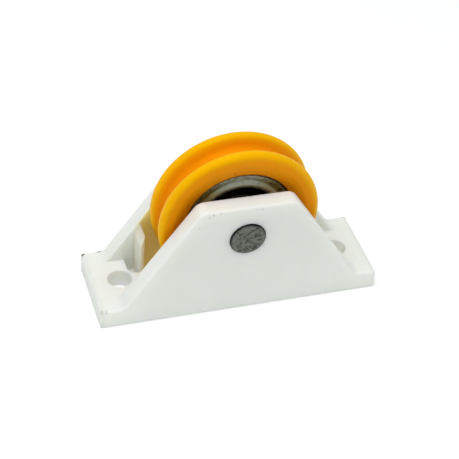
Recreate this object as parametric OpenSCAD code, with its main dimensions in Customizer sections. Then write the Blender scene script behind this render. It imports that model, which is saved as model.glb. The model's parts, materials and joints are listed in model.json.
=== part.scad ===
// Fairlead chock: a moulded housing with two cheeks, a grooved sheave on a shielded ball bearing,
// and a plain axle pin.
// Frame: X along the base, Y across it (the front cheek is at -Y), Z up, with the origin in the middle
// of the underside. Millimetres.

/* [Housing] */
// Length of the base plate
base_l = 82; // [80:1:110]
// Width of the base plate, which is also the width over the cheeks
base_w = 26; // [26:0.5:32]
// Thickness of the base plate
base_t = 5.8; // [4.5:0.1:7]
// Radius of the base plate's upright corners
base_corner_r = 1; // [0.5:0.1:2]
// Thickness of each cheek
cheek_t = 5.3; // [4.5:0.1:5.5]
// Height of the cheeks above the underside
cheek_h = 36.6; // [36:0.2:40]
// Length of the cheeks along their top, to the sharp corners
cheek_top_l = 27.2; // [24:0.2:30]
// Length of the cheeks where their slopes meet the base plate
cheek_foot_l = 69; // [66:0.5:72]
// Radius of the cheeks' top corners
cheek_corner_r = 3.4; // [1:0.1:5]
// Radius of the fillet at the foot of the slopes
cheek_foot_r = 3.2; // [1:0.1:5]

/* [Well, ribs and pockets] */
// Length of the open well under the sheave
well_l = 50.4; // [50:0.2:52]
// Thickness of the gusset ribs at the ends of the well
rib_t = 1.3; // [1:0.1:1.6]
// Width of the open way between a front rib and a back rib
rib_gap = 3; // [2.6:0.2:6]
// Height of a back rib on its low side, away from the sheave
rib_h = 15; // [13:0.5:17]
// How much lower the front ribs are than the back ribs
front_rib_drop = 8; // [4:0.5:8]
// Length of each blind pocket, along the base
pocket_l = 3; // [2:0.1:3]
// Thickness of the floor that is left under each pocket
pocket_floor = 1.6; // [1:0.1:3]
// Radius of each pocket's inner corner
pocket_corner_r = 2.4; // [0.5:0.1:2.8]

/* [Screw holes] */
// Distance between the two screw holes
hole_spacing = 65; // [64:0.5:68]
// Diameter of the screw holes
hole_d = 7; // [5:0.1:7]

/* [Axle] */
// Height of the axle above the underside
axle_h = 25.8; // [25.5:0.1:27]
// How far each end of the pin stands out of its cheek
pin_proud = 0.5; // [0.2:0.1:1.5]
// Chamfer at the pin's ends
pin_chamfer = 0.5; // [0.2:0.1:1]
// Diameter of the centre drilling in the pin's ends
pin_centre_d = 1.6; // [1:0.1:3]
// Outer diameter of the spacer sleeves
spacer_d = 13.6; // [12:0.1:14]

/* [Sheave] */
// Outer diameter of the sheave
sheave_d = 46.6; // [45:0.2:48]
// Width of the sheave over its rims
sheave_w = 12; // [11:0.2:13]
// Radius of the rounded rims
rim_r = 1.6; // [1:0.1:1.8]
// Radius of the bottom of the rope groove
groove_r = 2.6; // [2.3:0.1:2.7]
// Slope of the groove's sides away from upright, in degrees
groove_angle = 20; // [18:1:25]
// How far the sheave's sides step in towards the bearing
side_dish = 0.9; // [0.3:0.1:1.2]
// Width of the chamfer round the bearing's seat
seat_chamfer = 0.35; // [0.2:0.05:0.5]

/* [Bearing] */
// Bore of the bearing and diameter of the pin
bore_d = 10; // [9.6:0.1:10.2]
// Outer diameter of the bearing
bearing_d = 30; // [29.6:0.1:30.4]
// Width of the bearing
bearing_w = 9; // [8.8:0.1:9.2]
// Number of balls
ball_count = 8; // [7:1:8]
// Diameter of the balls
ball_d = 4.762; // [4.6:0.002:4.8]
// Diameter of the circle on which the balls run
pitch_d = 20; // [19.9:0.05:20.1]
// Clearance between a ball and each raceway, and between a ball and its cage
ball_clear = 0.03; // [0.01:0.01:0.08]
// Thickness of the shields' sheet
shield_t = 0.3; // [0.2:0.05:0.35]
// Thickness of the cage's sheet
cage_t = 0.4; // [0.3:0.05:0.5]

/* [Hidden] */
$fn = 96;
EPS = 0.05;                                   // overlap that keeps joined solids from only touching
gap_w = base_w - 2 * cheek_t;                 // open width between the cheeks
spacer_l = (gap_w - bearing_w) / 2;
pin_l = base_w + 2 * pin_proud;

slope_angle = atan((cheek_h - base_t) / ((cheek_foot_l - cheek_top_l) / 2));
top_tangent = cheek_corner_r * tan(slope_angle / 2);
fillet_sink = 0.04;                           // how deep the foot fillet dips into the base plate
fillet_z = base_t - fillet_sink;
fillet_x = cheek_foot_l / 2 + fillet_sink / tan(slope_angle);
foot_tangent = cheek_foot_r * tan(slope_angle / 2);
rib_sink = 0.3;                               // how far a rib's high edge stays under the slope
fit_clear = 0.03;                             // radial clearance of the spacers on the pin

rim_y = sheave_w / 2 - rim_r;                 // middle of a rim's rounding
rim_z = sheave_d / 2 - rim_r;
groove_touch_y = rim_y - rim_r * cos(groove_angle);
groove_touch_z = rim_z + rim_r * sin(groove_angle);
groove_z = groove_touch_z + (groove_r - groove_touch_y * cos(groove_angle)) / sin(groove_angle);
side_y = sheave_w / 2 - side_dish;            // half width of the sheave beside the bearing
dish_r = bearing_d / 2 + 2;                   // where the sheave's sides step in

shoulder_gap = 1.5;                           // from the balls' circle to the rings' shoulders
shoulder_in = pitch_d / 2 - shoulder_gap;
shoulder_out = pitch_d / 2 + shoulder_gap;
race_r = 0.52 * ball_d;                       // a raceway is a little rounder than its balls
race_out_z = pitch_d / 2 + ball_d / 2 + ball_clear - race_r;
race_in_z = pitch_d / 2 - ball_d / 2 - ball_clear + race_r;
land_w = 1.75;                                // width of the outer ring's end face
land_r = bearing_d / 2 - land_w;
shield_depth = 0.85;                          // how deep the shields sit in the outer ring
shield_seat_y = bearing_w / 2 - shield_depth;
snap_depth = 0.3;                             // depth of the groove that holds a shield
snap_r = land_r + snap_depth;
shield_clear = 0.01;                          // clearance on each side of a shield in its groove
snap_w = shield_t + 4 * shield_clear;
ring_chamfer = 0.35;

pocket_r = ball_d / 2 + ball_clear;           // radius of a ball's pocket in the cage
cage_w = 1.8;                                 // width of the cage's ring
cage_in = (pitch_d - cage_w) / 2;
cage_out = (pitch_d + cage_w) / 2;
rivet_r = 0.35;
rivet_head_r = 0.6;
rivet_head_t = 0.25;

HOUSING_WHITE = [0.92, 0.93, 0.90];
SHEAVE_ORANGE = [0.98, 0.66, 0.04];
STEEL = [0.45, 0.46, 0.45];
BRIGHT_STEEL = [0.66, 0.67, 0.66];
SPACER_GREY = [0.55, 0.56, 0.57];

BALLS = [for (i = [1:ball_count]) str("ball_", i)];

// Puts a shape that is drawn about its own Z axis on the axle. Its +Z then points to the front.
module on_axle() {
    translate([0, 0, axle_h]) rotate([90, 0, 0]) children();
}

// ---- Housing ----

// Side view of a cheek: a trapezium with rounded top corners and filleted feet.
module cheek_profile() {
    polygon([
        [-fillet_x, 0],
        [fillet_x, 0],
        [fillet_x, fillet_z],
        [cheek_top_l / 2 + top_tangent * cos(slope_angle), cheek_h - top_tangent * sin(slope_angle)],
        [cheek_top_l / 2 - top_tangent, cheek_h],
        [top_tangent - cheek_top_l / 2, cheek_h],
        [-cheek_top_l / 2 - top_tangent * cos(slope_angle), cheek_h - top_tangent * sin(slope_angle)],
        [-fillet_x, fillet_z]
    ]);
    for (side = [-1, 1]) {
        translate([side * (cheek_top_l / 2 - top_tangent), cheek_h - cheek_corner_r])
            circle(cheek_corner_r);
        difference() {
            polygon([
                [side * (fillet_x - foot_tangent * cos(slope_angle)),
                 fillet_z + foot_tangent * sin(slope_angle)],
                [side * (fillet_x - EPS), fillet_z - EPS],
                [side * (fillet_x + foot_tangent), fillet_z - EPS],
                [side * (fillet_x + foot_tangent), fillet_z]
            ]);
            translate([side * (fillet_x + foot_tangent), fillet_z + cheek_foot_r]) circle(cheek_foot_r);
        }
    }
}

module cheek(side) {
    translate([0, side * (base_w / 2 - cheek_t / 2) + cheek_t / 2, 0])
        rotate([90, 0, 0])
            linear_extrude(cheek_t) cheek_profile();
}

module base_outline() {
    square([base_l - 2 * base_corner_r, base_w], center = true);
    square([base_l, base_w - 2 * base_corner_r], center = true);
    for (x = [-1, 1], y = [-1, 1])
        translate([x * (base_l / 2 - base_corner_r), y * (base_w / 2 - base_corner_r)])
            circle(base_corner_r);
}

// Plan of the pocket at +X and +Y. It runs on into the cheek, which closes it again.
module pocket_outline() {
    x0 = well_l / 2 + rib_t;
    x1 = x0 + pocket_l;
    y0 = rib_gap / 2;
    y1 = gap_w / 2 + 1;
    translate([x0, y0 + pocket_corner_r]) square([pocket_l, y1 - y0 - pocket_corner_r]);
    translate([x0, y0]) square([pocket_l - pocket_corner_r, pocket_corner_r + EPS]);
    translate([x1 - pocket_corner_r, y0 + pocket_corner_r]) circle(pocket_corner_r);
}

// One gusset rib, at +X and +Y: an upright wall whose top rises towards the sheave.
module rib(drop) {
    rib_top = base_t + (cheek_foot_l - well_l) / 2 * tan(slope_angle) - rib_sink - drop;
    translate([0, gap_w / 2 + EPS, 0])
        rotate([90, 0, 0])
            linear_extrude((gap_w - rib_gap) / 2 + EPS)
                polygon([
                    [well_l / 2, pocket_floor],
                    [well_l / 2 + rib_t, pocket_floor],
                    [well_l / 2 + rib_t, rib_h - drop],
                    [well_l / 2, rib_top]
                ]);
}

// Repeats a shape drawn at +X and +Y in all four quarters.
module four_corners() {
    for (x = [0, 1], y = [0, 1]) mirror([x, 0, 0]) mirror([0, y, 0]) children();
}

module housing() {
    color(HOUSING_WHITE)
        difference() {
            union() {
                difference() {
                    linear_extrude(base_t) base_outline();
                    translate([-well_l / 2, -gap_w / 2 - 1, -1]) cube([well_l, gap_w + 2, base_t + 2]);
                    four_corners()
                        translate([0, 0, pocket_floor]) linear_extrude(base_t) pocket_outline();
                }
                cheek(-1);
                cheek(1);
                for (x = [0, 1], y = [0, 1])
                    mirror([x, 0, 0]) mirror([0, y, 0]) rib(y * front_rib_drop);
            }
            for (side = [-1, 1])
                translate([side * hole_spacing / 2, 0, -1]) cylinder(h = base_t + 2, d = hole_d);
            on_axle() cylinder(h = base_w + 2, d = bore_d, center = true);
        }
}

// ---- Axle ----

module axle_pin() {
    centre_r = pin_centre_d / 2;
    color(STEEL)
        on_axle()
            difference() {
                rotate_extrude()
                    polygon([
                        [0, -pin_l / 2],
                        [bore_d / 2 - pin_chamfer, -pin_l / 2],
                        [bore_d / 2, pin_chamfer - pin_l / 2],
                        [bore_d / 2, pin_l / 2 - pin_chamfer],
                        [bore_d / 2 - pin_chamfer, pin_l / 2],
                        [0, pin_l / 2]
                    ]);
                for (side = [0, 1])
                    mirror([0, 0, side])
                        translate([0, 0, pin_l / 2 - centre_r])
                            cylinder(h = centre_r + EPS, r1 = 0, r2 = centre_r + EPS, $fn = 48);
            }
}

// A spacer sleeve. side 1 is the front one.
module spacer(side) {
    color(SPACER_GREY)
        on_axle()
            translate([0, 0, side * (bearing_w + spacer_l) / 2])
                difference() {
                    cylinder(h = spacer_l, d = spacer_d, center = true);
                    cylinder(h = spacer_l + 1, d = bore_d + 2 * fit_clear, center = true);
                }
}

// ---- Sheave ----

// Half section of the sheave, with the radius along X and the width along Y.
module sheave_section() {
    touch_x = groove_z - groove_r * sin(groove_angle);
    touch_y = groove_r * cos(groove_angle);
    difference() {
        union() {
            polygon([
                [bearing_d / 2, seat_chamfer - side_y],
                [bearing_d / 2 + seat_chamfer, -side_y],
                [dish_r, -side_y],
                [dish_r + side_dish, -sheave_w / 2],
                [rim_z, -sheave_w / 2],
                [groove_touch_z, -groove_touch_y],
                [touch_x, -touch_y],
                [touch_x, touch_y],
                [groove_touch_z, groove_touch_y],
                [rim_z, sheave_w / 2],
                [dish_r + side_dish, sheave_w / 2],
                [dish_r, side_y],
                [bearing_d / 2 + seat_chamfer, side_y],
                [bearing_d / 2, side_y - seat_chamfer]
            ]);
            for (side = [-1, 1]) translate([rim_z, side * rim_y]) circle(rim_r);
        }
        translate([groove_z, 0]) circle(groove_r);
    }
}

module sheave() {
    color(SHEAVE_ORANGE) on_axle() rotate_extrude() sheave_section();
}

// ---- Bearing ----

module bearing_outer_ring() {
    color(STEEL)
        on_axle()
            rotate_extrude()
                difference() {
                    polygon([
                        [shoulder_out, -shield_seat_y],
                        [land_r, -shield_seat_y],
                        [land_r, -bearing_w / 2],
                        [bearing_d / 2 - ring_chamfer, -bearing_w / 2],
                        [bearing_d / 2, ring_chamfer - bearing_w / 2],
                        [bearing_d / 2, bearing_w / 2 - ring_chamfer],
                        [bearing_d / 2 - ring_chamfer, bearing_w / 2],
                        [land_r, bearing_w / 2],
                        [land_r, shield_seat_y],
                        [shoulder_out, shield_seat_y]
                    ]);
                    translate([race_out_z, 0]) circle(race_r);
                    for (side = [-1, 1])
                        translate([land_r - 1, side * (shield_seat_y + snap_w / 2) - snap_w / 2])
                            square([snap_r - land_r + 1, snap_w]);
                }
}

module bearing_inner_ring() {
    color(BRIGHT_STEEL)
        on_axle()
            rotate_extrude()
                difference() {
                    polygon([
                        [bore_d / 2, ring_chamfer - bearing_w / 2],
                        [bore_d / 2 + ring_chamfer, -bearing_w / 2],
                        [shoulder_in, -bearing_w / 2],
                        [shoulder_in, bearing_w / 2],
                        [bore_d / 2 + ring_chamfer, bearing_w / 2],
                        [bore_d / 2, bearing_w / 2 - ring_chamfer]
                    ]);
                    translate([race_in_z, 0]) circle(race_r);
                }
}

// A dust shield: a flat rim in the outer ring's groove, a raised band, and a flat middle that stops
// short of the inner ring. side 1 is the front one.
module shield(side) {
    band_rise = 0.4;
    band_w = 1.9;
    step_w = 0.4;
    sheet_shift = 0.1;
    rim_out = snap_r - 3 * shield_clear;
    rim_in = land_r - 0.7;
    band_out = rim_in - 0.3;
    band_in = band_out - band_w;
    middle_out = band_in - step_w;
    middle_in = shoulder_in + 0.2;
    low = shield_seat_y + shield_clear;
    top = shield_seat_y + shield_t;
    color(BRIGHT_STEEL)
        on_axle()
            mirror([0, 0, side > 0 ? 0 : 1])
                rotate_extrude()
                    polygon([
                        [rim_out, low],
                        [rim_out, top],
                        [rim_in, top],
                        [band_out, top + band_rise],
                        [band_in, top + band_rise],
                        [middle_out, top],
                        [middle_in, top],
                        [middle_in, low],
                        [middle_out + sheet_shift, low],
                        [band_in + sheet_shift, low + band_rise],
                        [band_out - sheet_shift, low + band_rise],
                        [rim_in - sheet_shift, low]
                    ]);
}

function ball_angle(i) = 360 / ball_count * (i - 1) + 90;

module ball(i) {
    color(BRIGHT_STEEL)
        on_axle()
            rotate(ball_angle(i)) translate([pitch_d / 2, 0, 0]) sphere(d = ball_d);
}

// One half of the cage: a flat ring with a domed pocket over each ball, cut to the ring's width.
// side 1 is the front half.
module cage_half(side) {
    color(BRIGHT_STEEL)
        on_axle()
            mirror([0, 0, side > 0 ? 0 : 1])
                difference() {
                    intersection() {
                        union() {
                            cylinder(h = cage_t, r = cage_out);
                            for (i = [1:ball_count])
                                rotate(ball_angle(i))
                                    translate([pitch_d / 2, 0, 0]) sphere(pocket_r + cage_t);
                        }
                        difference() {
                            cylinder(h = ball_d, r = cage_out);
                            translate([0, 0, -1]) cylinder(h = ball_d + 2, r = cage_in);
                        }
                    }
                    for (i = [1:ball_count]) {
                        rotate(ball_angle(i)) translate([pitch_d / 2, 0, 0]) sphere(pocket_r);
                        rotate(ball_angle(i + 0.5))
                            translate([pitch_d / 2, 0, -1]) cylinder(h = cage_t + 2, r = rivet_r, $fn = 32);
                    }
                }
}

module cage_rivets() {
    color(STEEL)
        on_axle()
            for (i = [1:ball_count])
                rotate(ball_angle(i + 0.5)) translate([pitch_d / 2, 0, 0]) {
                    cylinder(h = 2 * cage_t + EPS, r = rivet_r, center = true, $fn = 32);
                    for (side = [0, 1])
                        mirror([0, 0, side])
                            translate([0, 0, cage_t]) cylinder(h = rivet_head_t, r = rivet_head_r, $fn = 32);
                }
}

housing();
axle_pin();
spacer(1);  // spacer_front
spacer(-1);  // spacer_back
sheave();
bearing_outer_ring();
bearing_inner_ring();
shield(1);  // shield_front
shield(-1);  // shield_back
cage_half(1);  // cage_front
cage_half(-1);  // cage_back
cage_rivets();
for (i = [1:ball_count])
    ball(i);
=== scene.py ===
# %% [markdown]
# # A fairlead chock, dressed for a studio shot
#
# A fairlead chock leads a rope over a small wheel. This one is a white moulded housing with two
# cheeks, and between them an orange sheave turns on a ball bearing and a steel pin. The working model
# comes from CAD and stays where it is. Each cell below adds one thing that makes it look real.

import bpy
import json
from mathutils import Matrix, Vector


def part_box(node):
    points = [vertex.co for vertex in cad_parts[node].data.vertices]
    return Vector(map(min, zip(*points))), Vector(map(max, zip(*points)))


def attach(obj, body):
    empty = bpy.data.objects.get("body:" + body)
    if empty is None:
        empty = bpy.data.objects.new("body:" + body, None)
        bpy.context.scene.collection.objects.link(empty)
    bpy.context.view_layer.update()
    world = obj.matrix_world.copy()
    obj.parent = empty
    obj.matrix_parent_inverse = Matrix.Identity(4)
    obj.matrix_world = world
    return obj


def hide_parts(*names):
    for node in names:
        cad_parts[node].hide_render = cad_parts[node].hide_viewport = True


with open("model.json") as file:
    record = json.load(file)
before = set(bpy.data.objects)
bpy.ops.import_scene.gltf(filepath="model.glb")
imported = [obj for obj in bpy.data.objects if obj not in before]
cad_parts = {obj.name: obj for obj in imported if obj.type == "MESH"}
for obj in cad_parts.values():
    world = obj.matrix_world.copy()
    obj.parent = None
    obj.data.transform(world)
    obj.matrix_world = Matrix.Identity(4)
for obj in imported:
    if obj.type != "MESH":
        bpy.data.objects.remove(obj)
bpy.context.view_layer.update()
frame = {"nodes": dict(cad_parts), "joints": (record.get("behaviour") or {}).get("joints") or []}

# %% [markdown]
# Blender works in metres here, and a small part is easier to think about in millimetres, so every
# size below is a number of millimetres times MM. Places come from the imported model: the axle from
# the joint that the sheave turns on, and the corners of the housing from its box. BASE_T is the
# thickness of the base plate, which both the housing's shape and the dirt on it start from.

# %% Units and places
import json
import math

import bmesh
import bpy
from mathutils import Euler, Matrix, Quaternion, Vector

MM = 0.001
axle = Vector(next(j["pos_m"] for j in frame["joints"] if j["name"] == "sheave_spin"))
housing_low, housing_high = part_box("housing")
BASE_T = 5.8
print("axle height:", round(axle.z / MM, 2), "mm")
print("base length:", round((housing_high.x - housing_low.x) / MM, 2), "mm")

# %% [markdown]
# The camera stands a little to the left and looks down at 40 degrees, as a person does who holds the
# part at arm's length over a table. A long lens keeps the base plate's edges almost parallel. The
# horizon is tilted by a few degrees, which is what a hand-held camera gives.

# %% Camera
CAMERA_AZIMUTH, CAMERA_ELEVATION, CAMERA_ROLL = -20.357, 39.934, 5.386
CAMERA_DISTANCE = 399.4 * MM
CAMERA_TARGET = Vector((-0.81, 0, 18.44)) * MM
CAMERA_LENS = 110.07
CLIP_NEAR, CLIP_FAR = 10, 5000


def direction(azimuth, elevation):
    """The way from the object towards something at that azimuth and elevation, in degrees."""
    a, e = math.radians(azimuth), math.radians(elevation)
    return Vector((math.sin(a) * math.cos(e), -math.cos(a) * math.cos(e), math.sin(e)))


def add_object(name, data):
    """A new object at the origin, in the scene."""
    made = bpy.data.objects.new(name, data)
    bpy.context.scene.collection.objects.link(made)
    return made


camera = add_object("camera", bpy.data.cameras.new("camera"))
towards_camera = direction(CAMERA_AZIMUTH, CAMERA_ELEVATION)
camera.location = CAMERA_TARGET + towards_camera * CAMERA_DISTANCE
camera.rotation_mode = "QUATERNION"
level = (-towards_camera).to_track_quat("-Z", "Y")
camera.rotation_quaternion = level @ Quaternion((0, 0, 1), math.radians(CAMERA_ROLL))
camera.data.lens = CAMERA_LENS
camera.data.clip_start, camera.data.clip_end = CLIP_NEAR * MM, CLIP_FAR * MM
bpy.context.scene.camera = camera
print("camera at", [round(x / MM, 1) for x in camera.location], "mm")

# %% [markdown]
# A material in Blender is a tree of nodes, and sums of masks make up most of it. Wiring Math nodes by
# hand is hard to read, so a Wire wraps an output socket and turns Python's +, -, *, / and ** into Math
# nodes. Tree.node is the one way in which any other node is added, in the room's light, in materials
# and in Geometry Nodes.

# %% Wires and trees
class Wire:
    """An output socket. Arithmetic with it adds Math nodes to its tree."""

    def __init__(self, tree, socket):
        self.tree, self.socket = tree, socket

    def math(self, operation, *values):
        return self.tree.node("ShaderNodeMath", {"operation": operation}, enumerate(values))

    def __add__(self, other):
        return self.math("ADD", self, other)

    def __sub__(self, other):
        return self.math("SUBTRACT", self, other)

    def __rsub__(self, other):
        return self.math("SUBTRACT", other, self)

    def __mul__(self, other):
        return self.math("MULTIPLY", self, other)

    def __truediv__(self, other):
        return self.math("DIVIDE", self, other)

    def __pow__(self, other):
        return self.math("POWER", self, other)

    __radd__ = __add__
    __rmul__ = __mul__


class Tree:
    """A node tree that is being wired."""

    def __init__(self, nodes):
        self.nodes, self.links = nodes.nodes, nodes.links

    def node(self, kind, settings=(), inputs=(), output=0):
        """Adds a node: its settings first, then a value or a Wire for each of its inputs."""
        made = self.nodes.new(kind)
        for name, value in dict(settings).items():
            setattr(made, name, value)
        for key, value in dict(inputs).items():
            if isinstance(value, Wire):
                self.links.new(value.socket, made.inputs[key])
            else:
                made.inputs[key].default_value = value
        return Wire(self, made.outputs[output]) if made.outputs else made


# %% [markdown]
# A soft studio is three things: a bright room, one large lamp above that gives the shapes their
# shading, and a pale floor. The room is darker towards the horizon, because walls give less light than
# a ceiling does, and that keeps the upright faces greyer than the level ones. A lamp that is large
# next to the part casts shadows with very soft edges.

# %% Room and lamps
bpy.context.scene.view_settings.view_transform = "Standard"
ROOM_COLOUR = (0.925, 1.0, 0.935, 1)
LAMP_COLOUR = (1.0, 0.955, 1.0)
HORIZON_STRENGTH, ZENITH_STRENGTH = 0.36, 0.63


def studio_room():
    """A room that is brighter above than at the horizon, as light from a ceiling is."""
    world = bpy.data.worlds.new("studio")
    world.use_nodes = True
    world.node_tree.nodes.clear()
    t = Tree(world.node_tree)
    towards = t.node("ShaderNodeTexCoord", output="Generated")
    height = t.node("ShaderNodeSeparateXYZ", inputs={0: towards}, output="Z")
    inputs = {"Value": height, "To Min": HORIZON_STRENGTH, "To Max": ZENITH_STRENGTH}
    strength = t.node("ShaderNodeMapRange", inputs=inputs)
    light = t.node("ShaderNodeBackground", inputs={"Color": ROOM_COLOUR, "Strength": strength})
    t.node("ShaderNodeOutputWorld", inputs={"Surface": light})
    return world


def area_lamp(name, azimuth, elevation, distance, size, power):
    """A square lamp that faces the part. Distance and size are in millimetres, power in watts."""
    data = bpy.data.lights.new(name, "AREA")
    data.size, data.energy = size * MM, power
    data.color = LAMP_COLOUR
    lamp = add_object(name, data)
    towards = direction(azimuth, elevation)
    lamp.location = CAMERA_TARGET + towards * distance * MM
    lamp.rotation_mode = "QUATERNION"
    lamp.rotation_quaternion = (-towards).to_track_quat("-Z", "Y")


bpy.context.scene.world = studio_room()
area_lamp("lamp_above", azimuth=-60, elevation=78, distance=600, size=420, power=2.2)

# %% [markdown]
# Every finish here needs the same few tools: the point on the piece, noise of a given grain, a soft
# step that turns noise into a mask, a mix of two colours, and a round spot of dirt at a given place.
# They all read Object coordinates, so that a pattern stays on the piece when the sheave turns.

# %% The tools of a finish
class Finish(Tree):
    """A material for one kind of surface."""

    def __init__(self, name):
        self.material = bpy.data.materials.new(name)
        self.material.use_nodes = True
        super().__init__(self.material.node_tree)
        self.nodes.clear()
        self.point = self.node("ShaderNodeTexCoord", output="Object")

    def noise(self, grain, detail=2.0, vector=None, roughness=0.5):
        """Noise from 0 to 1 whose blotches are about grain millimetres across."""
        inputs = {"Vector": vector or self.point, "Scale": 1 / (grain * MM)}
        inputs |= {"Detail": detail, "Roughness": roughness}
        return self.node("ShaderNodeTexNoise", inputs=inputs)

    def step(self, value, low, high):
        """0 below low, 1 above high, and smooth between them."""
        inputs = {0: value, 1: low, 2: high, 3: 0.0, 4: 1.0}
        return self.node("ShaderNodeMapRange", {"interpolation_type": "SMOOTHSTEP"}, inputs)

    def mix(self, mask, first, second):
        """The first colour where mask is 0, the second where it is 1."""
        inputs = {0: mask, 6: first, 7: second}
        return self.node("ShaderNodeMix", {"data_type": "RGBA"}, inputs, output=2)

    def stretched(self, scale):
        """The point on the piece, squeezed by scale along each axis, for streaks."""
        inputs = {"Vector": self.point, "Scale": scale}
        return self.node("ShaderNodeMapping", {"vector_type": "POINT"}, inputs)

    def spot(self, place, radius, ragged=1.4):
        """A blurred spot, 1 at its middle, with a ragged edge. Place and radius are in millimetres."""
        inputs = {0: self.point, 1: Vector(place) * MM}
        away = self.node("ShaderNodeVectorMath", {"operation": "DISTANCE"}, inputs, output="Value")
        uneven = away / MM + (self.noise(0.7, 3) - 0.5) * radius * ragged
        return 1 - self.step(uneven, radius / 2, radius)

    def from_axle(self):
        """Distance from the axle's line in millimetres, and the angle round it."""
        moved = self.node(
            "ShaderNodeVectorMath", {"operation": "SUBTRACT"}, {0: self.point, 1: axle}, output="Vector"
        )
        parts = self.node("ShaderNodeSeparateXYZ", inputs={0: moved})
        x, z = parts, Wire(self, parts.socket.node.outputs[2])
        return (x * x + z * z) ** 0.5 / MM, z.math("ARCTAN2", z, x)

    def along(self, axis):
        """Distance from the middle of the part along X (0) or Y (1), in millimetres."""
        parts = self.node("ShaderNodeSeparateXYZ", inputs={0: self.point}, output=axis)
        return parts.math("ABSOLUTE", parts) / MM

    def rings(self, pitch, wobble=0.3):
        """Concentric turning marks: noise that changes fast with the radius and slowly round it."""
        radius, turn = self.from_axle()
        inputs = {"X": radius / pitch, "Y": turn * wobble, "Z": 0.0}
        where = self.node("ShaderNodeCombineXYZ", inputs=inputs)
        return self.node("ShaderNodeTexNoise", inputs={"Vector": where, "Scale": 1.0, "Detail": 3.0})

    def finish(self, colour, roughness, height=None, bump=0.1, depth=0.1, **fixed):
        """Ends the tree in a Principled shader. Depth is the bump's height in millimetres."""
        inputs = {"Base Color": colour, "Roughness": roughness}
        inputs |= {name.replace("_", " "): value for name, value in fixed.items()}
        if height is not None:
            inputs["Normal"] = self.node(
                "ShaderNodeBump", inputs={"Strength": bump, "Distance": depth * MM, "Height": height}
            )
        shader = self.node("ShaderNodeBsdfPrincipled", inputs=inputs)
        self.node("ShaderNodeOutputMaterial", inputs={"Surface": shader})
        print("finish:", self.material.name, "-", len(self.nodes), "nodes")
        return self.material


# %% [markdown]
# The floor is a plain white sheet, a hair below the part so that the two don't flicker where they
# touch. It gives off a little light of its own, which keeps it white under the part. It isn't part of
# the object.

# %% Floor
FLOOR_REACH, FLOOR_GAP, FLOOR_GLOW = 3000, 0.05, 0.15
floor_finish = Finish("floor_paper")
floor_white = floor_finish.mix(floor_finish.noise(30), (0.93, 0.93, 0.93, 1), (0.95, 0.95, 0.95, 1))
floor_material = floor_finish.finish(
    floor_white, roughness=0.9,
    Emission_Color=(1, 1, 1, 1), Emission_Strength=FLOOR_GLOW, Specular_IOR_Level=0.0,
)
bm = bmesh.new()
bmesh.ops.create_grid(bm, x_segments=4, y_segments=4, size=FLOOR_REACH * MM)
floor_mesh = bpy.data.meshes.new("floor")
bm.to_mesh(floor_mesh)
bm.free()
floor = add_object("floor", floor_mesh)
floor_mesh.transform(Matrix.Translation((0, 0, housing_low.z - FLOOR_GAP * MM)))
floor_mesh.materials.append(floor_material)
print("floor under", round(housing_low.z / MM, 2), "mm")

# %% [markdown]
# The housing is moulded in a tough white plastic, such as nylon or acetal. It isn't paper white: it
# lets a little light in, it has yellowed slightly in patches, and its corners have picked up dirt and
# dents from years of use. The dirt goes where a hand or a shackle would knock: on the corners of the
# base plate, at the foot of a cheek and along the upper edges. Beside the sheave, the inner faces get
# a painted reflection: they are painted yellow, as the orange light that the sheave throws on them would
# make them.
# Each mask below is soft between two distances from the middle of the part: the ends get grimy from
# GRIME_FROM to GRIME_TO, and the painted reflection reaches REFLECTION_SIDE sideways and fades
# lengthwise from REFLECTION_FROM to REFLECTION_TO.

# %% Housing plastic
GRIME_FROM, GRIME_TO = 39.0, 41.0
REFLECTION_SIDE, REFLECTION_EDGE, REFLECTION_FROM, REFLECTION_TO = 7.75, 0.3, 23.5, 27.5
DIRT_COLOUR = (0.035, 0.04, 0.035, 1)


def dirt_spots():
    """Where the dirt is, how far each spot of it reaches, and how strong it is."""
    left, right = housing_low.x / MM, housing_high.x / MM
    front, back = housing_low.y / MM, housing_high.y / MM
    top = housing_high.z / MM
    return [
        ((left + 0.3, back - 0.4, BASE_T), 1.0, 1.0),
        ((left + 5.2, back - 0.3, BASE_T + 0.2), 0.7, 0.8),
        ((left + 6.8, back - 0.2, BASE_T + 1.8), 0.9, 0.8),
        ((left + 0.3, front + 0.6, BASE_T - 0.2), 0.8, 0.3),
        ((left + 1.6, front + 0.2, BASE_T - 0.1), 0.6, 0.25),
        ((right - 0.4, back - 0.4, BASE_T), 0.8, 0.5),
        ((-11.6, front + 0.2, top - 1.5), 0.55, 0.25),
        ((-10.4, front + 0.2, top - 0.9), 0.5, 0.3),
        ((-8.3, front + 0.2, top - 0.6), 0.45, 0.25),
        ((-14.2, front + 0.2, top - 4.6), 0.5, 0.2),
        ((3.4, front + 0.1, top - 1.0), 0.45, 0.25),
        ((1.5, front + 5.1, top), 0.7, 0.6),
        ((14.0, front + 1.4, top - 1.6), 0.5, 0.5),
    ]


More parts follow.
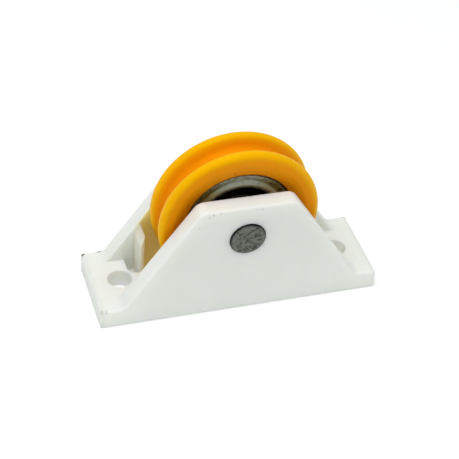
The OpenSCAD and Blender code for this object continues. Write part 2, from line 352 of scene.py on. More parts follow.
def housing_plastic():
    f = Finish("housing_plastic")
    patches = f.step(f.noise(16, 2), 0.35, 0.7)
    colour = f.mix(patches, (0.80, 0.82, 0.785, 1), (0.825, 0.84, 0.81, 1))
    stain = f.step(f.noise(2.6, 5, roughness=0.7), 0.60, 0.78)
    at_ends = f.step(f.along(0), GRIME_FROM, GRIME_TO)
    colour = f.mix(stain * 0.10, colour, (0.52, 0.50, 0.40, 1))
    colour = f.mix(at_ends * f.noise(1.8, 4) * 0.32, colour, (0.36, 0.38, 0.34, 1))
    specks = f.step(f.noise(0.55, 2), 0.735, 0.80)
    colour = f.mix(specks * 0.35, colour, (0.30, 0.29, 0.25, 1))
    nicks = f.step(f.noise(0.9, 1, vector=f.stretched((1, 1, 2.2))), 0.74, 0.80)
    colour = f.mix(nicks * 0.5, colour, (0.88, 0.89, 0.88, 1))
    # Painted reflection: the faces between the cheeks, beside the sheave, are tinted yellow.
    inside = 1 - f.step(f.along(1), REFLECTION_SIDE, REFLECTION_SIDE + REFLECTION_EDGE)
    painted_reflection = inside * (1 - f.step(f.along(0), REFLECTION_FROM, REFLECTION_TO))
    colour = f.mix(painted_reflection, colour, (0.92, 0.81, 0.32, 1))
    for place, radius, strength in dirt_spots():
        colour = f.mix(f.spot(place, radius) * strength, colour, DIRT_COLOUR)
    height = f.noise(0.45, 3) + f.noise(7, 1) * 6 + nicks * 0.6 - specks * 0.4
    rough = 0.42 + f.noise(4, 3) * 0.14
    return f.finish(
        colour, rough, height, bump=0.22, depth=0.05,
        Subsurface_Weight=0.75, Subsurface_Radius=(1.0, 0.95, 0.75), Subsurface_Scale=4 * MM, IOR=1.5,
    )


# %% [markdown]
# The sheave is moulded in orange-yellow plastic. Light that gets in and out of it again comes back
# more orange, which is why its shaded parts look almost brown. Rope and salt leave fine dark specks on
# it, and pressing the bearing in has marked the seat. Each mask below fades between two distances
# from the axle: a painted highlight that makes the crest of the rims paler and yellower, painted
# shade that makes the plastic near the seat darker and redder, the marks of the press round it, and
# a painted shadow, near black, in the gap beside the bearing.

# %% Sheave plastic
CREST_HIGHLIGHT, SEAT_SHADE, PRESS_MARKS, SEAT_GAP_SHADE = (20.6, 23.4), (15.2, 18.6), (16.4, 18.6), (15.85, 16.35)


def sheave_plastic():
    f = Finish("sheave_plastic")
    radius, _ = f.from_axle()
    tone = f.noise(9, 2)
    # Painted highlight: the rims turn paler and yellower towards their crest.
    crest = f.step(radius + (tone - 0.5) * 1.2, *CREST_HIGHLIGHT)
    colour = f.mix(crest, (0.88, 0.305, 0.001, 1), (0.93, 0.48, 0.001, 1))
    # Painted shade: the plastic near the seat turns darker and redder.
    seat_shade = 1 - f.step(radius + (f.noise(1.2, 4) - 0.5) * 2.2, *SEAT_SHADE)
    colour = f.mix(seat_shade * 0.55, colour, (0.72, 0.19, 0.001, 1))
    specks = f.step(f.noise(0.5, 2), 0.73, 0.80)
    colour = f.mix(specks * 0.55, colour, (0.22, 0.07, 0.004, 1))
    marks = f.step(f.noise(0.8, 4), 0.50, 0.72) * (1 - f.step(radius, *PRESS_MARKS))
    colour = f.mix(marks * 0.5, colour, (0.30, 0.11, 0.01, 1))
    # Painted shadow: a near-black ring in the gap beside the bearing.
    painted_shade = 1 - f.step(radius + (f.noise(0.8, 3) - 0.5) * 0.6, *SEAT_GAP_SHADE)
    colour = f.mix(painted_shade * 0.9, colour, (0.05, 0.02, 0.004, 1))
    height = f.rings(0.35) * 0.6 + f.noise(0.7, 3) + marks * 1.5
    rough = 0.36 + f.noise(2.5, 3) * 0.16
    return f.finish(
        colour, rough, height, bump=0.25, depth=0.04,
        Subsurface_Weight=0.2, Subsurface_Radius=(1.0, 0.45, 0.05), Subsurface_Scale=1.5 * MM,
        Specular_Tint=(1.0, 0.55, 0.02, 1), Specular_IOR_Level=0.2, IOR=1.5,
    )


# %% [markdown]
# The steel parts differ mostly in how they were worked. The pin, the spacers and the rings are turned,
# so they carry circular marks; the shields and the cage are pressed sheet, and smooth; the balls are
# polished. One function makes all these finishes, from a clean and a stained colour, a roughness, and
# the pitch and depth of the turning marks in millimetres.

# %% Steel
def steel(name, clean, stained, roughness, pitch, groove_depth, stain_share=0.5, dark=None):
    """Turned or pressed steel. Where dark gives two radii, shade is painted: clean at the first, black at
    the second.
    """
    f = Finish(name)
    turned = f.rings(pitch)
    stain = f.step(f.noise(1.1, 5, roughness=0.65), 0.62 - stain_share * 0.3, 0.85 - stain_share * 0.3)
    colour = f.mix(stain, (*clean, 1), (*stained, 1))
    pits = f.step(f.noise(0.32, 2), 0.66, 0.74)
    colour = f.mix(pits * stain_share, colour, (0.012, 0.012, 0.010, 1))
    # Painted shade: from the first of dark's radii to the second, the steel turns near black.
    if dark:
        radius, _ = f.from_axle()
        painted_shade = f.step(radius + (f.noise(1.0, 3) - 0.5) * 0.5, *dark)
        colour = f.mix(painted_shade, colour, (0.007, 0.008, 0.006, 1))
    height = turned * 2 + f.noise(0.4, 3) - pits * 1.5
    rough = roughness + stain * 0.15 + turned * 0.12
    return f.finish(colour, rough, height, bump=0.5, depth=groove_depth, Metallic=1.0)


# %% [markdown]
# Two shapes here follow a rule: what is turned on a lathe, and the ring of rivets in the bearing's
# cage. Geometry Nodes make both, and both trees begin and end alike. A tree begins with named inputs.
# It ends by laying a shape that stands on Z along the axle, making its copies real and giving it its
# finish, because the export drops copies that aren't real.

# %% The beginning and the end of a tree
def begin_tree(name, sockets, result):
    """A new Geometry Nodes tree, and a Wire for each of its named inputs."""
    group = bpy.data.node_groups.new(name, "GeometryNodeTree")
    for label, kind in sockets.items():
        group.interface.new_socket(label, in_out="INPUT", socket_type=f"NodeSocket{kind}")
    group.interface.new_socket(result, in_out="OUTPUT", socket_type="NodeSocketGeometry")
    tree = Tree(group)
    given = tree.node("NodeGroupInput").socket.node.outputs
    return group, tree, {label: Wire(tree, given[label]) for label in sockets}


def end_tree(tree, shape, wire):
    """Lays the shape along the axle, makes it real and gives it its finish."""
    placed = tree.node(
        "GeometryNodeTransform",
        inputs={"Geometry": shape, "Translation": wire["Axle"], "Rotation": Euler((math.pi / 2, 0, 0))},
    )
    real = tree.node("GeometryNodeRealizeInstances", inputs={"Geometry": placed})
    smooth = tree.node("GeometryNodeSetShadeSmooth", inputs={"Geometry": real})
    inputs = {"Geometry": smooth, "Material": wire["Finish"]}
    tree.node("NodeGroupOutput", inputs={0: tree.node("GeometryNodeSetMaterial", inputs=inputs)})
    print("tree with", len(tree.nodes), "nodes")


# %% [markdown]
# Wheels, rings, shields, spacers and the pin are all turned shapes, so one tree makes every one of
# them, as a lathe does. It takes half a section, rounds its corners, sweeps it round a circle, and
# closes the seam and the poles. The section is a ring of points in millimetres, each with its own
# corner radius. The circle may have any radius, because the section is first moved in by as much.

# %% The lathe
MERGE_DISTANCE = 0.002


def lathe_tree():
    sockets = {
        "Section": "Geometry", "Turn steps": "Int", "Corner steps": "Int",
        "Turning radius": "Float", "Axle": "Vector", "Finish": "Material",
    }
    group, t, wire = begin_tree("lathe", sockets, "Turned")
    corner = t.node("GeometryNodeInputNamedAttribute", {"data_type": "FLOAT"}, {"Name": "corner"})
    outline = t.node("GeometryNodeMeshToCurve", inputs={"Mesh": wire["Section"]})
    rounded = t.node(
        "GeometryNodeFilletCurve", {"mode": "POLY"},
        {"Curve": outline, "Count": wire["Corner steps"], "Radius": corner, "Limit Radius": True},
    )
    back = t.node("ShaderNodeCombineXYZ", inputs={"X": 0 - wire["Turning radius"]})
    shifted = t.node("GeometryNodeTransform", inputs={"Geometry": rounded, "Translation": back})
    circle = t.node(
        "GeometryNodeCurvePrimitiveCircle", {"mode": "RADIUS"},
        {"Resolution": wire["Turn steps"], "Radius": wire["Turning radius"]},
    )
    swept = t.node("GeometryNodeCurveToMesh", inputs={"Curve": circle, "Profile Curve": shifted})
    inputs = {"Geometry": swept, "Distance": MERGE_DISTANCE * MM}
    end_tree(t, t.node("GeometryNodeMergeByDistance", inputs=inputs), wire)
    return group


LATHE = lathe_tree()

# %% [markdown]
# A finished piece is a plain mesh at the origin, so the result of its modifiers replaces them.

# %% Finished pieces, and turning one
TURNING_RADIUS = 10


def settle(piece):
    """Makes the result of a piece's modifiers its plain mesh, with its faces turned outwards."""
    evaluated = piece.evaluated_get(bpy.context.evaluated_depsgraph_get())
    mesh = bpy.data.meshes.new_from_object(evaluated)
    piece.modifiers.clear()
    piece.data = mesh
    bm = bmesh.new()
    bm.from_mesh(mesh)
    bmesh.ops.recalc_face_normals(bm, faces=bm.faces)
    bm.to_mesh(mesh)
    bm.free()
    print(piece.name, "-", len(mesh.polygons), "faces")


def run_tree(piece, group, **values):
    """Runs a Geometry Nodes tree on a piece. Underscores in the names of values stand for spaces."""
    modifier = piece.modifiers.new(group.name, "NODES")
    modifier.node_group = group
    for item in group.interface.items_tree:
        key = item.name.replace(" ", "_")
        if item.in_out == "INPUT" and key in values:
            modifier[item.identifier] = values[key]
    settle(piece)


def even_shading(piece):
    """Keeps flat faces flat next to small rounded corners."""
    modifier = piece.modifiers.new("even shading", "WEIGHTED_NORMAL")
    modifier.weight = 100
    modifier.keep_sharp = True


def hand_over(piece, replaced, body, slot):
    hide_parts(replaced)
    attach(piece, body)


def turned(name, section, finish, replaced, body, slot, steps=160, corner_steps=6, closed=True):
    """A turned piece. section lists (radius, place along the axle, corner radius) in millimetres."""
    mesh = bpy.data.meshes.new(name)
    count = len(section)
    edges = [(i, (i + 1) % count) for i in range(count if closed else count - 1)]
    mesh.from_pydata([(r * MM, y * MM, 0) for r, y, _ in section], edges, [])
    corner = mesh.attributes.new("corner", "FLOAT", "POINT")
    corner.data.foreach_set("value", [c * MM for _, _, c in section])
    piece = add_object(name, mesh)
    run_tree(
        piece, LATHE, Turn_steps=steps, Corner_steps=corner_steps, Turning_radius=TURNING_RADIUS * MM,
        Axle=tuple(axle), Finish=finish,
    )
    even_shading(piece)
    hand_over(piece, replaced, body, slot)


def mirrored(half):
    """A section that is the same on both sides: the given half, then its mirror image."""
    return half + [(r, -y, c) for r, y, c in reversed(half) if y]


# %% [markdown]
# The sheave's section is the shape that the rope needs. Two fat rounded rims stand either side of a
# groove whose bottom fits a 5 mm rope, and the groove's sides lean out by 20 degrees so that the rope
# slides in. The sides step in towards the bearing, with a small chamfer round its seat. The corner
# where both sides of the groove would meet lies far below its floor, and rounding it makes the floor.

# %% Sheave
SHEAVE_WIDTH, RIM_RADIUS, GROOVE_RADIUS, GROOVE_LEAN = 12.0, 1.6, 2.6, math.radians(20)
SIDE_STEP, SEAT_RADIUS, SEAT_CHAMFER, DISH_RADIUS, DISH_WIDTH = 0.9, 15.5, 0.4, 16.4, 3.2
sheave_radius = (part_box("sheave")[1].z - axle.z) / MM


def sheave_section():
    rim_middle = SHEAVE_WIDTH / 2 - RIM_RADIUS
    crest = rim_middle - RIM_RADIUS * math.tan((math.pi / 2 - GROOVE_LEAN) / 2)
    floor_corner = sheave_radius - crest / math.tan(GROOVE_LEAN)
    side = SHEAVE_WIDTH / 2 - SIDE_STEP
    return mirrored([
        (SEAT_RADIUS, -side + SEAT_CHAMFER, 0.08),
        (SEAT_RADIUS + SEAT_CHAMFER, -side, 0.12),
        (DISH_RADIUS, -side, 2.0),
        (DISH_RADIUS + DISH_WIDTH, -SHEAVE_WIDTH / 2, 3.0),
        (sheave_radius, -SHEAVE_WIDTH / 2, RIM_RADIUS),
        (sheave_radius, -crest, RIM_RADIUS),
        (floor_corner, 0, GROOVE_RADIUS),
    ])


turned(
    "sheave_wheel", sheave_section(), sheave_plastic(), "sheave", "wheel", "sheave_plastic",
    steps=192, corner_steps=14,
)

# %% [markdown]
# The bearing is a standard shielded ball bearing. Seen from outside it is a ground outer ring with a
# chamfered edge, a dark snap groove, and a pressed shield with a raised band. Painted shade makes the
# outer ring black at its outer edge, the shields black towards their middle and the inner ring near
# black all over. The balls and the halves of the cage behind the shields are the CAD model's own,
# because their shapes need no change.

# %% Bearing rings and shields
BEARING_WIDTH, BALL_CIRCLE, BALL_RADIUS, BALL_CLEARANCE = 9.0, 10.0, 2.381, 0.03
SHOULDER, LAND, SHIELD_DEPTH, SHEET = 1.5, 1.75, 0.85, 0.3
RING_CHAMFER, RACEWAY_FIT, SNAP_GROOVE, SNAP_PLAY = 0.35, 0.52, 0.3, 0.04
PIN_RADIUS = 5.0
# Painted shade: the outer ring turns black at its outer edge, along the gap to the sheave.
ring_steel = steel(
    "bearing_steel", (0.30, 0.31, 0.25), (0.05, 0.05, 0.04),
    roughness=0.28, pitch=0.12, groove_depth=0.03, dark=(15.1, 15.4),
)
# Painted shade: each shield turns black towards its middle.
shield_steel = steel(
    "shield_steel", (0.48, 0.49, 0.41), (0.26, 0.27, 0.21),
    roughness=0.42, pitch=0.5, groove_depth=0.01, stain_share=0.3, dark=(11.9, 10.9),
)
# Painted shade: the inner ring's steel is near black all over.
oiled_steel = steel(
    "oiled_steel", (0.05, 0.05, 0.04), (0.02, 0.02, 0.015),
    roughness=0.35, pitch=0.12, groove_depth=0.02,
)


def raceway(middle, side, steps=7):
    """The points of a raceway's half arc, on the side of the balls' circle that side gives."""
    radius = RACEWAY_FIT * 2 * BALL_RADIUS
    centre = middle + side * (BALL_RADIUS + BALL_CLEARANCE - radius)
    shoulder = middle + side * SHOULDER
    widest = math.acos((shoulder - centre) * side / radius)
    angles = [widest * (1 - i / steps) for i in range(steps + 1)]
    return [(centre + side * radius * math.cos(a), -radius * math.sin(a), 0) for a in angles]


half = BEARING_WIDTH / 2
land, seat = SEAT_RADIUS - LAND, half - SHIELD_DEPTH
outer_section = mirrored([
    (SEAT_RADIUS, -half + RING_CHAMFER, 0.15),
    (SEAT_RADIUS - RING_CHAMFER, -half, 0.15),
    (land, -half, 0.12),
    (land, -seat - SHEET - SNAP_PLAY, 0.02),
    (land + SNAP_GROOVE, -seat - SHEET - SNAP_PLAY, 0.02),
    (land + SNAP_GROOVE, -seat, 0.02),
    (BALL_CIRCLE + SHOULDER, -seat, 0.08),
    *raceway(BALL_CIRCLE, 1),
])
inner_section = mirrored([
    (PIN_RADIUS, -half + RING_CHAMFER, 0.1),
    (PIN_RADIUS + RING_CHAMFER, -half, 0.1),
    (BALL_CIRCLE - SHOULDER, -half, 0.1),
    *raceway(BALL_CIRCLE, -1),
])
turned(
    "ring_outer", outer_section, ring_steel, "bearing_outer_ring", "wheel", "bearing_steel", corner_steps=4
)
turned(
    "ring_inner", inner_section, oiled_steel, "bearing_inner_ring", "block", "bearing_steel", corner_steps=4
)


def shield_section(side):
    """A pressed shield's section: rim, raised band and flat middle, all of one sheet's thickness."""
    low, top, rise = seat + 0.01, seat + SHEET, 0.5
    rim_out, rim_in = land + 0.27, land - 0.65
    band_out, band_in = rim_in - 1.1, rim_in - 2.0
    middle_out, middle_in = band_in - 0.4, BALL_CIRCLE - SHOULDER + 0.2
    upper = [(rim_out, top, 0.03), (rim_in, top, 0.2), (band_out, top + rise, 0.4)]
    upper += [(band_in, top + rise, 0.4), (middle_out, top, 0.2), (middle_in, top, 0.08)]
    lower = [(middle_in, low, 0.08), (middle_out + 0.1, low, 0.2), (band_in + 0.1, low + rise, 0.1)]
    lower += [(band_out - 0.1, low + rise, 0.1), (rim_in - 0.1, low, 0.2), (rim_out, low, 0.03)]
    return [(r, side * y, c) for r, y, c in upper + lower]


for end, side in (("front", -1), ("back", 1)):
    turned(
        f"dust_shield_{end}", shield_section(side), shield_steel, f"shield_{end}", "wheel", "shield_steel",
        corner_steps=4,
    )

# %% [markdown]
# The pin was cut from bar and faced on a lathe, and the tool left fine rings and a centre dimple on
# each end. Those marks are real ridges here, two hundredths of a millimetre high, because light that
# grazes the end picks them out. Pressing the pin in has spread its ends by 0.2 mm, which makes a low
# head. The spacers are short plain sleeves, with a little play round the pin.

# %% Pin and spacers
PIN_CHAMFER, DIMPLE_RADIUS, RIDGE_PITCH, RIDGE_HEIGHT = 0.4, 0.8, 0.42, 0.02
PIN_HEAD_RADIUS, PIN_HEAD_DEPTH, PIN_NECK, SPACER_PLAY = 5.2, 0.65, 0.2, 0.03
pin_half = (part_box("axle_pin")[1].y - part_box("axle_pin")[0].y) / 2 / MM
# Painted shade: the pin's ends turn black at their rim.
pin_steel = steel(
    "pin_steel", (0.14, 0.15, 0.13), (0.045, 0.05, 0.042),
    roughness=0.34, pitch=0.16, groove_depth=0.03, stain_share=0.6, dark=(4.6, 5.15),
)
spacer_steel = steel(
    "spacer_steel", (0.42, 0.42, 0.40), (0.16, 0.15, 0.12),
    roughness=0.35, pitch=0.2, groove_depth=0.02, stain_share=0.4,
)


def pin_half_section():
    """The front half of the pin: dimple, ridges, rim and head, out to where the plain shank begins."""
    face = [(0, -pin_half + DIMPLE_RADIUS, 0), (DIMPLE_RADIUS, -pin_half + RIDGE_HEIGHT, 0.1)]
    count = int((PIN_HEAD_RADIUS - PIN_CHAMFER - DIMPLE_RADIUS) / RIDGE_PITCH)
    for i in range(1, 2 * count):
        ridge = RIDGE_HEIGHT * (i % 2)
        face.append((DIMPLE_RADIUS + i * RIDGE_PITCH / 2, -pin_half + ridge, 0.05))
    rim = [(PIN_HEAD_RADIUS - PIN_CHAMFER, -pin_half, 0.2), (PIN_HEAD_RADIUS, -pin_half + PIN_CHAMFER, 0.2)]
    neck = -pin_half + PIN_HEAD_DEPTH
    return face + rim + [(PIN_HEAD_RADIUS, neck, 0), (PIN_RADIUS, neck + PIN_NECK, 0)]


pin_section = pin_half_section()
pin_section += [(r, -y, c) for r, y, c in reversed(pin_section)]
turned("pin_turned", pin_section, pin_steel, "axle_pin", "block", "pin_steel", corner_steps=2, closed=False)

spacer_radius = (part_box("spacer_front")[1].z - axle.z) / MM
for end in ("front", "back"):
    near, far = (y / MM for y in (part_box(f"spacer_{end}")[0].y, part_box(f"spacer_{end}")[1].y))
    bore = PIN_RADIUS + SPACER_PLAY
    sleeve = [(bore, near, 0.15), (spacer_radius, near, 0.2), (spacer_radius, far, 0.2), (bore, far, 0.15)]
    turned(
        f"spacer_sleeve_{end}", sleeve, spacer_steel, f"spacer_{end}", "block", "spacer_steel",
        corner_steps=4,
    )

# %% [markdown]
# The housing's shape is right in the CAD model, but its edges are sharp, and no moulding has sharp
# edges. It is drawn again from flat outlines. An outline is a ring of points, each with the radius
# that rounds it off, and the same outline moved in or out gives every other ring that a rounded edge
# needs.

# %% Outlines
def rounded(corners, steps=8):
    """The outline through corners (x, y, radius), counterclockwise, with an arc at each of them."""
    outline = []
    for i, (x, y, radius) in enumerate(corners):
        here = Vector((x, y))
        before = (Vector(corners[i - 1][:2]) - here).normalized()
        after = (Vector(corners[(i + 1) % len(corners)][:2]) - here).normalized()
        if not radius:
            outline.append(here)
            continue
        half_angle = before.angle(after) / 2
        middle = here + (before + after).normalized() * radius / math.sin(half_angle)
        first = here + before * radius / math.tan(half_angle) - middle
        turn = (math.pi - 2 * half_angle) * math.copysign(1, -before.cross(after))
        for step in range(steps + 1):
            outline.append(middle + Matrix.Rotation(turn * step / steps, 2) @ first)
    return outline


def moved_out(outline, by):
    """The outline with every side moved out. by holds one distance for each point."""
    moved = []
    for i, point in enumerate(outline):
        before = (point - outline[i - 1]).normalized()
        after = (outline[(i + 1) % len(outline)] - point).normalized()
        out_before, out_after = Vector((before.y, -before.x)), Vector((after.y, -after.x))
        moved.append(point + (out_before + out_after) / (1 + out_before.dot(out_after)) * by[i])
    return moved


def stacked(name, rings):
    """A closed piece from rings of points that lie one beyond the other, with its two ends filled."""
    bm = bmesh.new()
    made = [[bm.verts.new(Vector(point) * MM) for point in ring] for ring in rings]
    count = len(made[0])
    for low, high in zip(made, made[1:]):
        for i in range(count):
            j = (i + 1) % count
            bm.faces.new((low[i], low[j], high[j], high[i]))
    bm.faces.new(made[0][::-1])
    bm.faces.new(made[-1])
    bmesh.ops.remove_doubles(bm, verts=bm.verts, dist=MERGE_DISTANCE * MM)
    bmesh.ops.dissolve_degenerate(bm, edges=bm.edges, dist=MERGE_DISTANCE * MM / 2)
    bmesh.ops.recalc_face_normals(bm, faces=bm.faces)
    mesh = bpy.data.meshes.new(name)
    bm.to_mesh(mesh)
    bm.free()
    return add_object(name, mesh)


def prism(name, outline, levels, upright=True):
    """A prism along Z, or along Y when not upright. levels lists (place, distance moved out)."""
    rings = []
    for place, out in levels:
        flat = moved_out(outline, [out] * len(outline))
        rings.append([(p.x, p.y, place) if upright else (p.x, place, p.y) for p in flat])
    return stacked(name, rings)


def lip(place, towards, radius, out, steps=4):
    """Levels that round a rim. towards is the way to the open side, and out is 1 to flare a cutter."""
    levels = []
    for step in range(steps + 1):
        angle = math.pi / 2 * step / steps
        level = place - towards * radius * (1 - math.sin(angle))
        levels.append((level, out * radius * (1 - math.cos(angle))))
    return levels


# %% [markdown]
# The body of the housing is one stack of rings from the front face to the back face. Every ring is
# the front view's outline. Near a face it shrinks a little, which rounds the outer edge; on the inner
# side of a cheek it shrinks too, and then the part above the base plate drops to the plate's top. The
# inner rounding fades out over the lowest FADE_HEIGHT of the slope, where the cheek's inner edge runs
# into the plate.

# %% The housing's body
BASE_L, CHEEK_T, CHEEK_TOP_L, CHEEK_FOOT_L = 82.0, 5.3, 27.2, 69.0
TOP_CORNER, FOOT_CORNER, END_CORNER = 3.4, 3.2, 0.7
OUTER_ROUNDING, INNER_ROUNDING, FADE_HEIGHT, EDGE_STEPS = 0.6, 0.45, 4.0, 4
cheek_top = housing_high.z / MM
side_face = housing_high.y / MM
inner_face = side_face - CHEEK_T
front_view = rounded([
    (-BASE_L / 2, 0, 0), (BASE_L / 2, 0, 0), (BASE_L / 2, BASE_T, END_CORNER),
    (CHEEK_FOOT_L / 2, BASE_T, FOOT_CORNER), (CHEEK_TOP_L / 2, cheek_top, TOP_CORNER),
    (-CHEEK_TOP_L / 2, cheek_top, TOP_CORNER), (-CHEEK_FOOT_L / 2, BASE_T, FOOT_CORNER),
    (-BASE_L / 2, BASE_T, END_CORNER),
])


def housing_body():
    """The rings of the back half, from its outer face inwards, and their mirror images in front."""
    fade = [min(1, max(0, (p.y - BASE_T) / FADE_HEIGHT)) for p in front_view]
    half = []
    for step in range(EDGE_STEPS + 1):
        angle = math.pi / 2 * step / EDGE_STEPS
        ring = moved_out(front_view, [OUTER_ROUNDING * (math.sin(angle) - 1)] * len(front_view))
        place = side_face - OUTER_ROUNDING * (1 - math.cos(angle))
        half.append([(p.x, place, p.y) for p in ring])
    for step in range(EDGE_STEPS + 1):
        angle = math.pi / 2 * step / EDGE_STEPS
        ring = moved_out(front_view, [INNER_ROUNDING * (math.cos(angle) - 1) * f for f in fade])
        place = [inner_face + INNER_ROUNDING * (1 - math.sin(angle)) * f for f in fade]
        half.append([(p.x, y, p.y) for p, y in zip(ring, place)])
    half.append([(x, y, min(z, BASE_T)) for x, y, z in half[-1]])
    front_half = [[(x, -y, z) for x, y, z in ring] for ring in half]
    return stacked("housing_moulding", front_half + half[::-1])


housing = housing_body()

# %% [markdown]
# Then tools add to the body and cut it, as a mould's slides would. The Boolean modifier does that. Its
# Manifold solver is used, because the sides of the well lie exactly in the inner faces of the cheeks,
# and it copes with faces that lie in each other. Where a tool has to break through a surface, it stands
# out of it by OVERSHOOT.

# %% Tools that add and cut
OVERSHOOT, OVERLAP = 1, 0.4


def circle_outline(x, y, radius, count=72):
    turns = [2 * math.pi * i / count for i in range(count)]
    return [Vector((x + radius * math.cos(a), y + radius * math.sin(a))) for a in turns]


def in_quarter(outline, across, along):
    """An outline drawn at +X, mirrored to the other side if wanted, and kept counterclockwise."""
    flipped = [Vector((p.x * across, p.y * along)) for p in outline]
    return flipped if across * along > 0 else flipped[::-1]


def combine(piece, tools, operation):
    """Adds the tools to the piece or cuts them from it, and removes them."""
    for tool in tools:
        modifier = piece.modifiers.new(tool.name, "BOOLEAN")
        modifier.operation, modifier.solver, modifier.object = operation, "MANIFOLD", tool
    settle(piece)
    for tool in tools:
        bpy.data.objects.remove(tool)


# %% [markdown]
# Four gusset ribs stand at the ends of the well and stiffen the cheeks. The back ones reach almost to
# the slope of their cheek, and the front ones are lower. Behind each rib, the base plate has a blind
# pocket, because thick plastic sinks as it cools and a moulding's walls are kept thin.

# %% Ribs and pockets
WELL_L, RIB_T, RIB_GAP, RIB_LOW, RIB_HIGH, FRONT_RIB_DROP = 50.4, 1.3, 3.0, 15.0, 19.2, 8.0
RIB_ROUNDING, POCKET_L, POCKET_FLOOR, POCKET_CORNER = 0.25, 3.0, 1.6, 2.4
rib_face = WELL_L / 2 + RIB_T


def rib_view(drop):
    """Side view of a rib at +X. Front ribs are lower than back ribs by drop."""
    inside, low, high = WELL_L / 2 - OVERLAP, RIB_LOW - drop, RIB_HIGH - drop
    return rounded([
        (inside, POCKET_FLOOR / 2, 0), (rib_face, POCKET_FLOOR / 2, 0),
        (rib_face, low, RIB_ROUNDING), (WELL_L / 2, high, RIB_ROUNDING), (inside, high, 0),
    ], steps=4)


pocket_plan = rounded([
    (rib_face, RIB_GAP / 2, 0), (rib_face + POCKET_L, RIB_GAP / 2, POCKET_CORNER),
    (rib_face + POCKET_L, inner_face, 0), (rib_face, inner_face, 0),
])
pocket_levels = [(POCKET_FLOOR, 0), (BASE_T + OVERSHOOT, 0)]
ribs, cutters = [], []
for x in (-1, 1):
    for y in (-1, 1):
        free_end = [(y * place, out) for place, out in lip(RIB_GAP / 2, -1, RIB_ROUNDING, -1)][::-1]
        levels = free_end + [(y * (inner_face + OVERLAP), 0)]
        view = rib_view(FRONT_RIB_DROP if y < 0 else 0)
        ribs.append(prism("rib", in_quarter(view, x, 1), levels, upright=False))
        cutters.append(prism("pocket", in_quarter(pocket_plan, x, y), pocket_levels))
print(len(ribs), "ribs and", len(cutters), "pockets")

# %% [markdown]
# The well goes right through the base plate, so that water and grit fall out. The two screw holes and
# the axle's bore flare a little at their rims, which leaves a rounded lip in the plastic.

# %% Well, screw holes and bore
HOLE_SPACING, HOLE_RADIUS, HOLE_LIP, BORE_LIP = 65.0, 3.5, 0.35, 0.2
well_corners = [(-1, -1), (1, -1), (1, 1), (-1, 1)]
well_plan = [Vector((x * WELL_L / 2, y * inner_face)) for x, y in well_corners]
for x in (-1, 1):
    plan = circle_outline(x * HOLE_SPACING / 2, 0, HOLE_RADIUS)
    levels = [(-OVERSHOOT, HOLE_LIP)] + lip(0, -1, HOLE_LIP, 1)[::-1]
    levels += lip(BASE_T, 1, HOLE_LIP, 1) + [(BASE_T + OVERSHOOT, HOLE_LIP)]
    cutters.append(prism("hole", plan, levels))
for side in (-1, 1):
    plan = circle_outline(axle.x / MM, axle.z / MM, PIN_RADIUS)
    levels = [(side * (inner_face - OVERSHOOT), 0)]
    levels += [(side * place, out) for place, out in lip(side_face, 1, BORE_LIP, 1)]
    levels.append((side * (side_face + OVERSHOOT), BORE_LIP))
    cutters.append(prism("bore", plan, levels, upright=False))
well = prism("well", well_plan, [(-OVERSHOOT, 0), (cheek_top + OVERSHOOT, 0)])
combine(housing, ribs, "UNION")
combine(housing, [well, *cutters], "DIFFERENCE")

# %% [markdown]
# The rounded edges shade smoothly, and corners sharper than SHARP_CORNER stay sharp. They are found by
# the angle between their faces, because the cuts have made many new edges.

# %% The housing's finish
SHARP_CORNER = math.radians(38)
housing.data.shade_smooth()
housing.data.set_sharp_from_angle(angle=SHARP_CORNER)
housing.data.materials.clear()
housing.data.materials.append(housing_plastic())
even_shading(housing)
hand_over(housing, "housing", "block", "housing_plastic")

# %% [markdown]
# Eight rivets join the two halves of the cage. They are all the same, so one is stacked from rings, and
# a Geometry Nodes tree puts a copy of it on every point of a circle and makes them one mesh. Their
# heads are domed, where the CAD model's are flat.

# %% Rivets
RIVET_COUNT, CAGE_SHEET, RIVET_SHANK, RIVET_HEAD, RIVET_HEAD_HEIGHT = 8, 0.4, 0.35, 0.6, 0.25
DOME_ANGLES = (0.4, 0.8, 1.2)
cage_steel = steel(
    "cage_steel", (0.50, 0.50, 0.47), (0.30, 0.29, 0.24),
    roughness=0.32, pitch=0.6, groove_depth=0.01, stain_share=0.2,
)


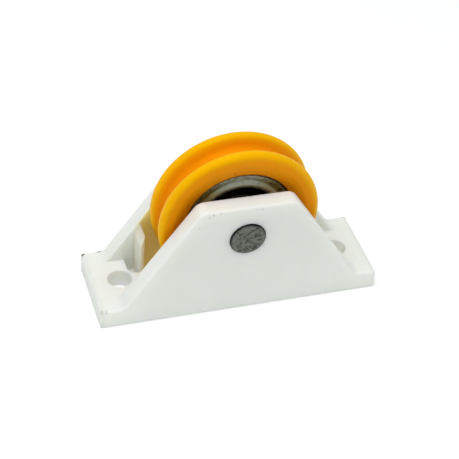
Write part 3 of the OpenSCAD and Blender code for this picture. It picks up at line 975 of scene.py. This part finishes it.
def rivet_tree():
    sockets = {
        "Rivet": "Geometry", "Count": "Int", "Circle radius": "Float",
        "First angle": "Float", "Axle": "Vector", "Finish": "Material",
    }
    group, t, wire = begin_tree("rivet circle", sockets, "Rivets")
    inputs = {"Vertices": wire["Count"], "Radius": wire["Circle radius"]}
    circle = t.node("GeometryNodeMeshCircle", {"fill_type": "NONE"}, inputs)
    copies = t.node("GeometryNodeInstanceOnPoints", inputs={"Points": circle, "Instance": wire["Rivet"]})
    turn = t.node("ShaderNodeCombineXYZ", inputs={"Z": wire["First angle"]})
    end_tree(t, t.node("GeometryNodeTransform", inputs={"Geometry": copies, "Rotation": turn}), wire)
    return group


def one_rivet():
    """A rivet that stands on its own axis, Z, with a domed head at each end."""
    upper = [(RIVET_SHANK, 0), (RIVET_SHANK, CAGE_SHEET), (RIVET_HEAD, CAGE_SHEET)]
    for angle in DOME_ANGLES:
        upper.append((RIVET_HEAD * math.cos(angle), CAGE_SHEET + RIVET_HEAD_HEIGHT * math.sin(angle)))
    profile = [(radius, -height) for radius, height in upper[:0:-1]] + upper
    rings = []
    for radius, height in profile:
        rings.append([(p.x, p.y, height) for p in circle_outline(0, 0, radius, count=24)])
    return stacked("cage_rivet_set", rings)


rivets = one_rivet()
run_tree(
    rivets, rivet_tree(), Count=RIVET_COUNT, Circle_radius=BALL_CIRCLE * MM,
    First_angle=math.pi / RIVET_COUNT, Axle=tuple(axle), Finish=cage_steel,
)
hand_over(rivets, "cage_rivets", "cage", "cage_steel")

# %% [markdown]
# The cage halves and the balls keep their CAD shapes and only need their finishes.

# %% Finishes for the CAD nodes
ball_steel = steel(
    "ball_steel", (0.66, 0.66, 0.67), (0.52, 0.52, 0.52),
    roughness=0.10, pitch=0.8, groove_depth=0.003, stain_share=0.1,
)
for name, node in frame["nodes"].items():
    if name in ("cage_front", "cage_back") or name.startswith("ball"):
        node.data.materials.clear()
        node.data.materials.append(ball_steel if name.startswith("ball") else cage_steel)
        node.data.shade_smooth()
        print(name, "gets", node.data.materials[0].name)
